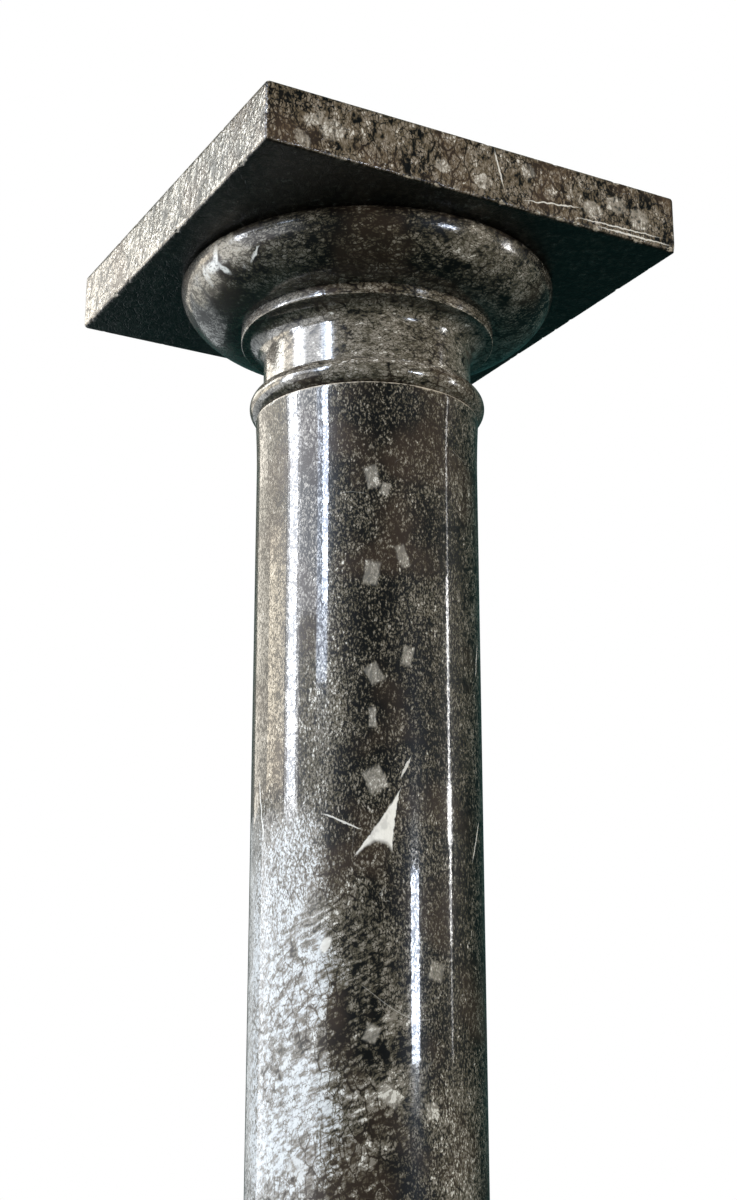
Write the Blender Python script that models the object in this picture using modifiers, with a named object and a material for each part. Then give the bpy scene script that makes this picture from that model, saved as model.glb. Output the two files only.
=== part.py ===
"""A polished grey-brown marble column: square plinth, turned base, plain round shaft, turned capital
and square top slab, stacked dry on one upright axis.

Metres, +Z up. The origin is the middle of the underside, and the slabs' sides lie along X and Y.
Every width is worked out from the shaft's radius by the steps that the mouldings make from it.
"""

import math

import bmesh
import bpy

# Shaft, a plain cylinder that flares a little at both ends.
SHAFT_RADIUS = 0.0735
SHAFT_LENGTH = 0.795
SHAFT_FLARE = 0.0013
SHAFT_FLARE_HEIGHT = 0.040
SHAFT_ARRIS = 0.0006

# Capital, turned from one piece: a half-round bead, the neck, a cove, a flat ring and the echinus.
NECK_INSET = 0.0035
NECK_HEIGHT = 0.0255
NECK_COVE = 0.0125
BEAD_RADIUS = 0.009
RING_SOFFIT = 0.0032
RING_HEIGHT = 0.0075
ECHINUS_SPREAD = 0.0413
ECHINUS_HEIGHT = 0.034
ECHINUS_LIP = 0.0045
ECHINUS_FULLNESS = 1.84

# Top slab, the square that carries whatever stands on the column.
TOP_OVERHANG = 0.023
TOP_THICKNESS = 0.040
TOP_ROUND = 0.005

# Base, turned from one piece: a cove under the shaft, a flat fillet, then a half-round torus.
BASE_COVE = 0.018
BASE_LEDGE = 0.0072
BASE_FILLET_HEIGHT = 0.008
TORUS_SPREAD = 0.028
TORUS_HEIGHT = 0.042

# Plinth, the square block that the column stands on.
PLINTH_OVERHANG = 0.022
PLINTH_THICKNESS = 0.050
PLINTH_ROUND = 0.004

# Both slabs have a worn lower edge and worn upright corners.
SLAB_ARRIS = 0.002
SLAB_CORNER = 0.003

# The bedding between two stones, which keeps their faces this far apart.
BED = 0.0003

# How finely the round forms are cut.
TURNING_STEPS = 64
BEAD_STEPS = 12
COVE_STEPS = 6
ECHINUS_STEPS = 12
LIP_STEPS = 3
FLARE_STEPS = 4
EDGE_STEPS = 3
MERGE_DISTANCE = 0.00005

# Polished marble: its mean colour in linear light and its polish.
MARBLE_COLOUR = (0.105, 0.093, 0.082, 1.0)
MARBLE_ROUGHNESS = 0.18

# Widths that follow from the shaft.
BED_RADIUS = SHAFT_RADIUS + SHAFT_FLARE
NECK_RADIUS = SHAFT_RADIUS - NECK_INSET
RING_RADIUS = NECK_RADIUS + NECK_COVE + RING_SOFFIT
ECHINUS_RADIUS = RING_RADIUS + ECHINUS_SPREAD
TOP_SIDE = 2 * (ECHINUS_RADIUS + TOP_OVERHANG)
BASE_FILLET_RADIUS = BED_RADIUS + BASE_COVE + BASE_LEDGE
TORUS_RADIUS = BASE_FILLET_RADIUS + TORUS_SPREAD
PLINTH_SIDE = 2 * (TORUS_RADIUS + PLINTH_OVERHANG)

# Heights of the two turned ends, and of each stone's underside above the floor.
BASE_HEIGHT = TORUS_HEIGHT + BASE_FILLET_HEIGHT + BASE_COVE
CAPITAL_HEIGHT = 2 * BEAD_RADIUS + NECK_HEIGHT + NECK_COVE + RING_HEIGHT + ECHINUS_HEIGHT
BASE_Z = PLINTH_THICKNESS + BED
SHAFT_Z = BASE_Z + BASE_HEIGHT + BED
CAPITAL_Z = SHAFT_Z + SHAFT_LENGTH + BED
TOP_Z = CAPITAL_Z + CAPITAL_HEIGHT + BED


def clear_scene():
    """Removes every object, so that the column stands alone."""
    for old in list(bpy.data.objects):
        bpy.data.objects.remove(old, do_unlink=True)


def marble(name):
    """Polished marble as a plain shader."""
    material = bpy.data.materials.new(name)
    material.use_nodes = True
    shader = material.node_tree.nodes["Principled BSDF"]
    shader.inputs["Base Color"].default_value = MARBLE_COLOUR
    shader.inputs["Roughness"].default_value = MARBLE_ROUGHNESS
    shader.inputs["Metallic"].default_value = 0.0
    return material


def arc(centre, across, up, start, end, steps, fullness=2.0):
    """Points on an oval arc between two angles in degrees, where 0 points outwards and 90 up.

    A fullness of 2 gives a true ellipse, and less than 2 a flatter curve.
    """
    power = 2 / fullness
    points = []
    for step in range(steps + 1):
        angle = math.radians(start + (end - start) * step / steps)
        outwards = math.cos(angle)
        upwards = math.sin(angle)
        radius = centre[0] + across * math.copysign(abs(outwards) ** power, outwards)
        height = centre[1] + up * math.copysign(abs(upwards) ** power, upwards)
        points.append((radius, height))
    return points


def capital_outline():
    """The capital's outline from the top of the echinus down to the underside of the bead."""
    widest_z = CAPITAL_HEIGHT - ECHINUS_LIP
    ring_z = CAPITAL_HEIGHT - ECHINUS_HEIGHT
    cove_z = ring_z - RING_HEIGHT - NECK_COVE
    lip_centre = (ECHINUS_RADIUS - ECHINUS_LIP, widest_z)
    lip = arc(lip_centre, ECHINUS_LIP, ECHINUS_LIP, 90, 0, LIP_STEPS)
    echinus_centre = (RING_RADIUS, widest_z)
    echinus = arc(echinus_centre, ECHINUS_SPREAD, widest_z - ring_z, 0, -90, ECHINUS_STEPS,
                  ECHINUS_FULLNESS)
    ring_foot = (RING_RADIUS, ring_z - RING_HEIGHT)
    cove_centre = (NECK_RADIUS + NECK_COVE, cove_z)
    cove = arc(cove_centre, NECK_COVE, NECK_COVE, 90, 180, COVE_STEPS)
    bead = arc((NECK_RADIUS, BEAD_RADIUS), BEAD_RADIUS, BEAD_RADIUS, 90, -90, BEAD_STEPS)
    return lip + echinus[1:] + [ring_foot] + cove + bead


def flared_end(end_z, inwards):
    """The shaft's outline at one end: the arris, then the flare that dies into the cylinder."""
    arris_z = end_z + inwards * SHAFT_ARRIS
    rise = inwards * (SHAFT_FLARE_HEIGHT - SHAFT_ARRIS)
    points = [(BED_RADIUS - SHAFT_ARRIS, end_z)]
    for step in range(FLARE_STEPS + 1):
        share = step / FLARE_STEPS
        radius = SHAFT_RADIUS + SHAFT_FLARE * (1 - share) ** 2
        points.append((radius, arris_z + rise * share))
    return points


def shaft_outline():
    """The shaft's outline, top to bottom."""
    top = flared_end(SHAFT_LENGTH, -1)
    foot = flared_end(0.0, 1)
    return top + foot[::-1]


def base_outline():
    """The base's outline from its bed under the shaft down to its bed on the plinth."""
    cove_centre = (BED_RADIUS + BASE_COVE, BASE_HEIGHT)
    cove = arc(cove_centre, BASE_COVE, BASE_COVE, 180, 270, COVE_STEPS)
    fillet_top = (BASE_FILLET_RADIUS, BASE_HEIGHT - BASE_COVE)
    fillet_foot = (BASE_FILLET_RADIUS, TORUS_HEIGHT)
    half_height = TORUS_HEIGHT / 2
    torus_centre = (TORUS_RADIUS - half_height, half_height)
    torus = arc(torus_centre, half_height, half_height, 90, -90, BEAD_STEPS)
    return cove + [fillet_top, fillet_foot] + torus


def turned(name, outline, bed_z, material, collection):
    """A solid of revolution about Z from an outline that runs down its outer side."""
    top_z = outline[0][1]
    foot_z = outline[-1][1]
    points = [(0.0, top_z)] + outline + [(0.0, foot_z)]
    corners = [(radius, 0.0, height) for radius, height in points]
    edges = [(index, index + 1) for index in range(len(points) - 1)]
    mesh = bpy.data.meshes.new(name)
    mesh.from_pydata(corners, edges, [])
    mesh.materials.append(material)
    piece = bpy.data.objects.new(name, mesh)
    collection.objects.link(piece)
    piece.location = (0.0, 0.0, bed_z)
    screw = piece.modifiers.new("turning", "SCREW")
    screw.axis = "Z"
    screw.steps = TURNING_STEPS
    screw.render_steps = TURNING_STEPS
    screw.use_smooth_shade = True
    screw.use_merge_vertices = True
    screw.merge_threshold = MERGE_DISTANCE
    return piece


def slab(name, side, thickness, top_round, bed_z, material, collection):
    """A square slab with rounded top edges, a worn lower edge and worn upright corners."""
    form = bmesh.new()
    bmesh.ops.create_cube(form, size=1.0)
    bmesh.ops.scale(form, vec=(side, side, thickness), verts=form.verts)
    bmesh.ops.translate(form, vec=(0.0, 0.0, thickness / 2), verts=form.verts)
    weights = form.edges.layers.float.new("bevel_weight_edge")
    widest = max(top_round, SLAB_ARRIS, SLAB_CORNER)
    for edge in form.edges:
        upper_ends = [vertex.co.z > thickness / 2 for vertex in edge.verts]
        rounding = SLAB_ARRIS
        if all(upper_ends):
            rounding = top_round
        elif any(upper_ends):
            rounding = SLAB_CORNER
        edge[weights] = rounding / widest
    mesh = bpy.data.meshes.new(name)
    form.to_mesh(mesh)
    form.free()
    mesh.materials.append(material)
    piece = bpy.data.objects.new(name, mesh)
    collection.objects.link(piece)
    piece.location = (0.0, 0.0, bed_z)
    bevel = piece.modifiers.new("worn edges", "BEVEL")
    bevel.limit_method = "WEIGHT"
    bevel.width = widest
    bevel.segments = EDGE_STEPS
    return piece


def build_column():
    """Makes the five stones and stacks them."""
    clear_scene()
    stones = bpy.data.collections.new("marble_column")
    bpy.context.scene.collection.children.link(stones)
    stone = marble("polished_marble")
    slab("plinth", PLINTH_SIDE, PLINTH_THICKNESS, PLINTH_ROUND, 0.0, stone, stones)
    turned("base", base_outline(), BASE_Z, stone, stones)
    turned("shaft", shaft_outline(), SHAFT_Z, stone, stones)
    turned("capital", capital_outline(), CAPITAL_Z, stone, stones)
    slab("top_slab", TOP_SIDE, TOP_THICKNESS, TOP_ROUND, TOP_Z, stone, stones)


build_column()
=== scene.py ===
"""Dresses a polished marble column: its worn stones, their finish, the studio and the camera."""

import math
import random
from dataclasses import dataclass
from types import SimpleNamespace

import bmesh
import bpy
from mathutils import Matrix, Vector, kdtree, noise


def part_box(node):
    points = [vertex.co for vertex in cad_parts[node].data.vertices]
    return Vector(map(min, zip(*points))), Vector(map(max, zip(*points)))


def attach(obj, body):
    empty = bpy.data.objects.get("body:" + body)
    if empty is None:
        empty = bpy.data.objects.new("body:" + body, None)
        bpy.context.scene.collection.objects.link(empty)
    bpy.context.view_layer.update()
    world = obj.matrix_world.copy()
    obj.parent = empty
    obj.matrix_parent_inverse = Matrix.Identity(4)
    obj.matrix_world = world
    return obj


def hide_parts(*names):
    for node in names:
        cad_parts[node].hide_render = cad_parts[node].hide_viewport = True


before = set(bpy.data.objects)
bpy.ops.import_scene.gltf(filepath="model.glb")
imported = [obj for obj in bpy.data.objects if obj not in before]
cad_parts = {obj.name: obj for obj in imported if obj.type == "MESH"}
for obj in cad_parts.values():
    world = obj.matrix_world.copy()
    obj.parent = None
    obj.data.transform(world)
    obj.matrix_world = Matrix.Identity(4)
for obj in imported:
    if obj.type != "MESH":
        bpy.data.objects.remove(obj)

bl_info = {
    "name": "Marble Column",
    "version": (1, 0, 0),
    "blender": (4, 5, 0),
    "location": "3D View > Sidebar > Column",
    "description": "Builds a polished fossil marble column from its stones, with studio and camera",
    "category": "Add Mesh",
}

MILLIMETRE = 0.001
DOUBLES = 0.000001

# The stones' places come from the frame.
PLINTH_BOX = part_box("plinth")
BASE_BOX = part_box("base")
SHAFT_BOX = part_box("shaft")
CAPITAL_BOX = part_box("capital")
TOP_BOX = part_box("top_slab")

# The camera, from the photograph's perspective: where it stands, in parts of the slab's side.
CAMERA_TURN = math.radians(-28.83)
CAMERA_AWAY = 3.907
CAMERA_BELOW = 1.89
CAMERA_PITCH = math.radians(16.45)
CAMERA_YAW = math.radians(0.05)
FOCAL_PIXELS = 1866.8
PHOTO_HEIGHT = 1200
SENSOR = 36.0
NEAREST_SEEN = 0.05

# How finely the stones are cut.
TURNING_STEPS = 288
ARC_STEPS = 14
SOFT_STEPS = 3
EDGE_SPACING = 1.2 * MILLIMETRE
EDGE_BAND = 10 * MILLIMETRE
ROW_SPACING = 2 * MILLIMETRE
BAND_CUTS = 5
ROUND_SEGMENTS = 4
RING_ROWS = 1.2 * MILLIMETRE
NECK_ROWS = 4 * MILLIMETRE
SHAFT_ROWS = 12 * MILLIMETRE
SHARP_ANGLE = math.radians(50)
FLAT = 0.999


def linear(hex_colour):
    """An sRGB hex colour as linear red, green, blue and alpha."""
    channels = []
    for start in (1, 3, 5):
        value = int(hex_colour[start:start + 2], 16) / 255
        value = value / 12.92 if value <= 0.04045 else ((value + 0.055) / 1.055) ** 2.4
        channels.append(value)
    return (*channels, 1.0)


def length(name, description, default):
    """A length that the user can change, in metres."""
    return bpy.props.FloatProperty(name=name, description=description, default=default,
                                   subtype="DISTANCE", unit="LENGTH", precision=4, min=0.0)


def colour(name, description, hex_colour):
    """A colour that the user can change, from its sRGB hex value."""
    return bpy.props.FloatVectorProperty(name=name, description=description, subtype="COLOR",
                                         size=4, min=0.0, max=1.0, default=linear(hex_colour))


class ColumnSizes(bpy.types.PropertyGroup):
    """Sizes of the mouldings, which the boxes of the frame don't give."""

    shaft_radius: length("Shaft radius", "Radius of the plain part of the shaft",
                         SHAFT_BOX[1].x - 1.3 * MILLIMETRE)
    shaft_flare_height: length("Flare height", "Height over which the shaft widens at an end",
                               40 * MILLIMETRE)
    shaft_arris: length("Shaft arris", "Rounding of the shaft's end arrises", 0.7 * MILLIMETRE)
    neck_inset: length("Neck inset", "How far the neck lies behind the shaft", 3.5 * MILLIMETRE)
    neck_cove: length("Neck cove", "Radius of the cove under the ring", 12.5 * MILLIMETRE)
    bead_radius: length("Bead radius", "Radius of the half-round bead", 9 * MILLIMETRE)
    ring_soffit: length("Ring soffit", "Flat width under the ring", 3.2 * MILLIMETRE)
    ring_height: length("Ring height", "Height of the flat ring", 7.5 * MILLIMETRE)
    ring_arris: length("Ring arris", "Rounding of the ring's lower arris", 0.9 * MILLIMETRE)
    echinus_height: length("Echinus height", "Height of the swelling under the slab",
                           34 * MILLIMETRE)
    echinus_lip: length("Echinus lip", "Rounding of the echinus at the slab", 4.5 * MILLIMETRE)
    base_cove: length("Base cove", "Radius of the cove under the shaft", 18 * MILLIMETRE)
    base_ledge: length("Base ledge", "Flat width between the base's cove and fillet",
                       7.2 * MILLIMETRE)
    base_fillet_height: length("Fillet height", "Height of the base's fillet", 8 * MILLIMETRE)
    base_arris: length("Base arris", "Rounding of the base's fillet", 0.8 * MILLIMETRE)
    top_round: length("Top slab round", "Rounding of the top slab's upper edge", 2.8 * MILLIMETRE)
    plinth_round: length("Plinth round", "Rounding of the plinth's upper edge", 2.8 * MILLIMETRE)
    slab_arris: length("Slab arris", "Worn chamfer on a slab's lower edge", 2 * MILLIMETRE)
    slab_corner: length("Slab corner", "Rounding of a slab's upright corners", 3.0 * MILLIMETRE)


class ColumnColours(bpy.types.PropertyGroup):
    """Colours of the stone and the studio."""

    dark: colour("Dark ground", "Darkest lime mud of the marble", "#090706")
    ground: colour("Ground", "Usual grey-brown of the marble", "#4d483d")
    stain: colour("Stain", "Rusty brown stain in the marble", "#4c3d31")
    film: colour("Film", "Brown film on stone that is seldom cleaned", "#6b543c")
    crumb: colour("Crumb", "Grey fossil crumbs", "#777168")
    pale: colour("Pale", "Palest crumbs", "#d3d0c8")
    # Partly the stone's pale zones, partly a painted bluish reflection of the windows on the shaft's
    # left.
    cloud_and_reflection: colour("Cloud_and_reflection", "Bluish white of the cloudy zones", "#bcc3cb")
    clast: colour("Clast", "Pale grey fragments", "#a8a49c")
    vein: colour("Vein", "White calcite veins", "#dedbd4")
    # Painted shade: a near-black colour laid on the top slab's underside, where its shade falls.
    underside_shade: colour("Painted_shade", "Brown grime under the top slab", "#120d08")
    bruise: colour("Bruise", "Bruised stone on worn arrises", "#b5ab9b")
    floor: colour("Floor", "Pale studio floor", "#f2f1ee")


# How full a curve is: 2 gives a true ellipse, and less than 2 a flatter curve.
FULLNESS_OF_ECHINUS = 1.84
FULLNESS_ROUND = 2.0


def arc(centre, across, up, start, end, steps=ARC_STEPS, fullness=FULLNESS_ROUND):
    """Points on an oval arc between two angles in degrees, where 0 points outwards and 90 up."""
    power = 2 / fullness
    points = []
    for step in range(steps + 1):
        angle = math.radians(start + (end - start) * step / steps)
        outwards = math.cos(angle)
        upwards = math.sin(angle)
        radius = centre[0] + across * math.copysign(abs(outwards) ** power, outwards)
        height = centre[1] + up * math.copysign(abs(upwards) ** power, upwards)
        points.append((radius, height))
    return points


def softened(before, corner, after, reach):
    """The corner of an outline rounded over a reach, as a short curve."""
    corner = Vector(corner)
    start = corner + (Vector(before) - corner).normalized() * reach
    end = corner + (Vector(after) - corner).normalized() * reach
    points = []
    for step in range(SOFT_STEPS + 1):
        share = step / SOFT_STEPS
        point = start.lerp(corner, share).lerp(corner.lerp(end, share), share)
        points.append(tuple(point))
    return points


def straight(start, end, spacing):
    """Points from start to before end, no further apart than the spacing."""
    start = Vector(start)
    end = Vector(end)
    pieces = max(1, round((end - start).length / spacing))
    return [tuple(start.lerp(end, step / pieces)) for step in range(pieces)]


def capital_outline(sizes):
    """The capital's outline from the top of the echinus down to the bead's underside."""
    foot, top = CAPITAL_BOX[0].z, CAPITAL_BOX[1].z
    neck = sizes.shaft_radius - sizes.neck_inset
    ring = neck + sizes.neck_cove + sizes.ring_soffit
    spread = CAPITAL_BOX[1].x - ring
    lip = sizes.echinus_lip
    widest = top - lip
    ring_top = top - sizes.echinus_height
    ring_foot = ring_top - sizes.ring_height
    outline = arc((CAPITAL_BOX[1].x - lip, widest), lip, lip, 90, 0, ARC_STEPS // 2)
    outline += arc((ring, widest), spread, widest - ring_top, 0, -90, 2 * ARC_STEPS,
                   FULLNESS_OF_ECHINUS)[1:]
    outline += straight((ring, ring_top), (ring, ring_foot + sizes.ring_arris), RING_ROWS)[1:]
    soffit = (neck + sizes.neck_cove, ring_foot)
    outline += softened((ring, ring_top), (ring, ring_foot), soffit, sizes.ring_arris)
    outline += arc((soffit[0], ring_foot - sizes.neck_cove), sizes.neck_cove, sizes.neck_cove, 90, 180)
    bead_top = foot + 2 * sizes.bead_radius
    neck_top = (neck, ring_foot - sizes.neck_cove)
    outline += straight(neck_top, (neck, bead_top), NECK_ROWS)[1:]
    outline += arc((neck, foot + sizes.bead_radius), sizes.bead_radius, sizes.bead_radius,
                   90, -90, 2 * ARC_STEPS)
    return outline


def flared_end(sizes, end_z, inwards):
    """The shaft's outline at one end: the rounded arris, then the flare that dies into the shaft."""
    flare = SHAFT_BOX[1].x - sizes.shaft_radius
    points = []
    for step in range(ARC_STEPS + 1):
        share = step / ARC_STEPS
        radius = sizes.shaft_radius + flare * (1 - share) ** 2
        points.append((radius, end_z + inwards * sizes.shaft_flare_height * share))
    return softened((0.0, end_z), points[0], points[1], sizes.shaft_arris) + points[1:]


def shaft_outline(sizes):
    """The shaft's outline, top to bottom."""
    top = flared_end(sizes, SHAFT_BOX[1].z, -1)
    foot = flared_end(sizes, SHAFT_BOX[0].z, 1)[::-1]
    return top + straight(top[-1], foot[0], SHAFT_ROWS)[1:] + foot


def base_outline(sizes):
    """The base's outline from its bed under the shaft down to its bed on the plinth."""
    foot, top = BASE_BOX[0].z, BASE_BOX[1].z
    bed = SHAFT_BOX[1].x
    ledge = top - sizes.base_cove
    torus_top = ledge - sizes.base_fillet_height
    fillet = bed + sizes.base_cove + sizes.base_ledge
    half = (torus_top - foot) / 2
    rim = BASE_BOX[1].x
    outline = arc((bed + sizes.base_cove, top), sizes.base_cove, sizes.base_cove, 180, 270)
    outline += softened(outline[-1], (fillet, ledge), (fillet, torus_top), sizes.base_arris)
    outline += [(fillet, torus_top)]
    outline += arc((rim - half, foot + half), half, half, 90, -90, 2 * ARC_STEPS)
    return outline


def finished(name, form):
    """A mesh object from a finished form, which rides on the column."""
    mesh = bpy.data.meshes.new(name)
    form.to_mesh(mesh)
    form.free()
    mesh.shade_smooth()
    mesh.set_sharp_from_angle(angle=SHARP_ANGLE)
    piece = bpy.data.objects.new(name, mesh)
    bpy.context.scene.collection.objects.link(piece)
    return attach(piece, "root")


def turned_form(outline):
    """A solid of revolution from an outline that runs down its outer side."""
    form = bmesh.new()
    points = [(0.0, outline[0][1])] + outline + [(0.0, outline[-1][1])]
    corners = [form.verts.new((radius, 0.0, height)) for radius, height in points]
    edges = [form.edges.new(pair) for pair in zip(corners, corners[1:])]
    bmesh.ops.spin(form, geom=corners + edges, cent=(0.0, 0.0, 0.0), axis=(0.0, 0.0, 1.0),
                   dvec=(0.0, 0.0, 0.0), angle=math.tau, steps=TURNING_STEPS, use_merge=True,
                   use_normal_flip=False, use_duplicate=False)
    bmesh.ops.remove_doubles(form, verts=form.verts, dist=DOUBLES)
    bmesh.ops.recalc_face_normals(form, faces=form.faces)
    return form


def rounded_edges(form, chosen, offset):
    """Rounds the edges that a test picks."""
    bmesh.ops.bevel(form, geom=[edge for edge in form.edges if chosen(edge)], affect="EDGES",
                    offset=offset, segments=ROUND_SEGMENTS, profile=0.5, material=-1)


def slab_form(box, top_round, sizes):
    """A square slab with rounded edges and a fine band of faces along each arris, to be worn."""
    low, high = box
    middle = (low + high) / 2
    side = high - low
    form = bmesh.new()
    bmesh.ops.create_cube(form, size=1.0)
    bmesh.ops.scale(form, vec=side, verts=form.verts)
    bmesh.ops.translate(form, vec=middle, verts=form.verts)
    rounded_edges(form, lambda edge: abs(edge.verts[0].co.z - edge.verts[1].co.z) > DOUBLES,
                  sizes.slab_corner)
    rounded_edges(form, lambda edge: all(end.co.z > high.z - DOUBLES for end in edge.verts),
                  top_round)
    rounded_edges(form, lambda edge: all(end.co.z < low.z + DOUBLES for end in edge.verts),
                  sizes.slab_arris)
    flats = [face for face in form.faces if abs(face.normal.z) > FLAT]
    limits = [max(corner.co.x for corner in face.verts) - EDGE_BAND for face in flats]
    bmesh.ops.inset_region(form, faces=flats, thickness=EDGE_BAND, depth=0.0)
    inner = []
    for face, limit in zip(flats, limits):
        for corner in face.verts:
            corner.co.x = max(-limit, min(limit, corner.co.x))
            corner.co.y = max(-limit, min(limit, corner.co.y))
            inner.append(corner)
    bmesh.ops.delete(form, geom=flats, context="FACES_ONLY")
    bmesh.ops.remove_doubles(form, verts=inner, dist=DOUBLES)
    long_edges = [edge for edge in form.edges if edge.calc_length() > side.x / 2]
    bmesh.ops.subdivide_edges(form, edges=long_edges, cuts=round(side.x / EDGE_SPACING),
                              use_grid_fill=True)
    upright = [edge for edge in form.edges
               if abs(edge.verts[0].co.z - edge.verts[1].co.z) > EDGE_BAND]
    bmesh.ops.subdivide_edges(form, edges=upright, cuts=round(side.z / ROW_SPACING),
                              use_grid_fill=True)
    across = [edge for edge in form.edges if edge.calc_length() > EDGE_BAND * 0.9]
    bmesh.ops.subdivide_edges(form, edges=across, cuts=BAND_CUTS, use_grid_fill=True)
    filled = bmesh.ops.edgeloop_fill(form, edges=[edge for edge in form.edges if edge.is_boundary])
    bmesh.ops.poke(form, faces=filled["faces"])
    for corner in form.verts:
        corner.co.z = max(low.z, min(high.z, corner.co.z))
    bmesh.ops.recalc_face_normals(form, faces=form.faces)
    return form


# How the arrises are rubbed: the noises of its grain, each with its fineness in cycles a metre and its
# strength, then its depth, how full it is, and its reach, a slab's as so many times its arris.
RUB_GRAIN = ((60, 0.5), (240, 0.3), (700, 0.3))
SLAB_RUB = 0.16 * MILLIMETRE
ROUND_RUB = 0.1 * MILLIMETRE
SLAB_FULLNESS = 0.7
ROUND_FULLNESS = 0.95
SLAB_REACH = 1.6
RING_REACH = 1.3 * MILLIMETRE
FILLET_REACH = 1.4 * MILLIMETRE
SHAFT_REACH = 2.2 * MILLIMETRE

# How they are chipped: the least and the greatest radius of a chip in millimetres, its depth as a
# share of that radius, with a share of a slab's arris added, and how bruised and how grainy it is.
SLAB_CHIPS = (1.2, 3.6)
SLAB_CHIP_DEPTHS = (0.3, 0.5)
ARRIS_DEPTH = 0.3
ROUND_CHIPS = (0.8, 2.2)
ROUND_CHIP_DEPTHS = (0.3, 0.6)
CHIP_BRUISE = 0.4
CHIP_GRAIN = 900


class Wear:
    """Chips and rubbed arrises of one stone, and how bruised each point of it is."""

    def __init__(self, form, box, seed):
        self.form = form
        self.box = box
        self.layer = form.verts.layers.float.new("wear")
        self.draw = random.Random(seed)
        form.verts.ensure_lookup_table()
        self.tree = kdtree.KDTree(len(form.verts))
        for index, vertex in enumerate(form.verts):
            self.tree.insert(vertex.co, index)
        self.tree.balance()

    def bruise(self, vertex, amount):
        """Marks a point as bruised, up to 1."""
        vertex[self.layer] = min(1.0, max(vertex[self.layer], amount))

    def chip(self, point, outwards, radius, depth):
        """Scoops a shell-shaped chip out of an arris."""
        low, high = self.box
        centre = point + outwards * (radius - depth)
        for _, index, _ in self.tree.find_range(centre, radius):
            vertex = self.form.verts[index]
            inwards = vertex.co - centre
            if inwards.dot(outwards) < 0 and inwards.length > DOUBLES:
                scooped = centre + inwards.normalized() * radius
                vertex.co = [max(least, min(largest, value))
                             for least, largest, value in zip(low, high, scooped)]
                self.bruise(vertex, CHIP_BRUISE + noise.noise(vertex.co * CHIP_GRAIN))

    def rub(self, point, outwards, reach, depth, fullness):
        """Rubs the arris near a point, more in some places than in others."""
        for co, index, distance in self.tree.find_range(point, reach):
            vertex = self.form.verts[index]
            near = (1 - distance / reach) ** 2
            grain = sum(noise.noise(co * fineness) * strength for fineness, strength in RUB_GRAIN)
            amount = near * max(0.0, fullness + grain)
            self.bruise(vertex, amount)
            vertex.co -= outwards * depth * near * max(0.0, grain)


def wear_slab(form, box, arris, seed, chips):
    """Wears a slab: its upright corners and its upper and lower arrises, each with a few chips."""
    wear = Wear(form, box, seed)
    low, high = box
    reach = SLAB_REACH * arris
    edges = []
    for x_side in (-1, 1):
        for y_side in (-1, 1):
            corner = Vector((high.x * x_side, high.y * y_side, 0.0))
            out = Vector((x_side, y_side, 0.0)).normalized()
            edges.append((corner + Vector((0, 0, low.z)), corner + Vector((0, 0, high.z)), out))
    for level, up in ((low.z, -1), (high.z, 1)):
        for turn in range(4):
            angle = turn * math.pi / 2
            ahead = Vector((-math.sin(angle), math.cos(angle), 0.0))
            face = Vector((math.cos(angle), math.sin(angle), 0.0))
            middle = face * high.x + Vector((0, 0, level))
            out = (face + Vector((0, 0, up))).normalized()
            edges.append((middle - ahead * high.x, middle + ahead * high.x, out))
    for start, end, out in edges:
        steps = round((end - start).length / EDGE_SPACING)
        for step in range(0, steps + 1, 2):
            point = start.lerp(end, step / steps)
            wear.rub(point, out, reach, SLAB_RUB, SLAB_FULLNESS)
        share = (end - start).length / (2 * high.x)
        for _ in range(max(1, round(chips * share))):
            point = start.lerp(end, wear.draw.uniform(0.01, 0.99))
            radius = wear.draw.uniform(*SLAB_CHIPS) * MILLIMETRE
            depth = radius * wear.draw.uniform(*SLAB_CHIP_DEPTHS) + arris * ARRIS_DEPTH
            wear.chip(point, out, radius, depth)


def wear_round(form, box, arrises, seed, nicks):
    """Wears the turned arrises, each given by its radius, height and outward direction."""
    wear = Wear(form, box, seed)
    for radius, height, outwards, reach in arrises:
        steps = round(math.tau * radius / EDGE_SPACING)
        nicked = [wear.draw.randrange(steps) for _ in range(nicks)]
        for step in range(steps):
            angle = math.tau * step / steps
            around = Vector((math.cos(angle), math.sin(angle), 0.0))
            point = around * radius + Vector((0, 0, height))
            out = (around * outwards[0] + Vector((0, 0, outwards[1]))).normalized()
            if step in nicked:
                size = wear.draw.uniform(*ROUND_CHIPS) * MILLIMETRE
                wear.chip(point, out, size, size * wear.draw.uniform(*ROUND_CHIP_DEPTHS))
            else:
                wear.rub(point, out, reach, ROUND_RUB, ROUND_FULLNESS)


# The settings of the nodes that are used more than once. A MapRange node takes a value, the two ends
# of what it fades over and the two ends of what it gives, which are 0 and 1 if left out.
MULTIPLY = {"operation": "MULTIPLY"}
MULTIPLY_ADD = {"operation": "MULTIPLY_ADD"}
ADD = {"operation": "ADD"}
SUBTRACT = {"operation": "SUBTRACT"}
LARGER = {"operation": "MAXIMUM"}
UNSIGNED = {"operation": "ABSOLUTE"}
SMOOTH = {"interpolation_type": "SMOOTHSTEP"}
TO_SEAM = {"feature": "DISTANCE_TO_EDGE"}
FROM_SPOT = {"vector_type": "TEXTURE"}
COLOURS = {"data_type": "RGBA"}

# A Mix node's sockets: its factor, two numbers and two colours, and the mixed colour that it gives.
FACTOR, NUMBER, OTHER_NUMBER, COLOUR, OTHER_COLOUR = 0, 2, 3, 6, 7
MIXED_COLOUR = 2


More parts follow.
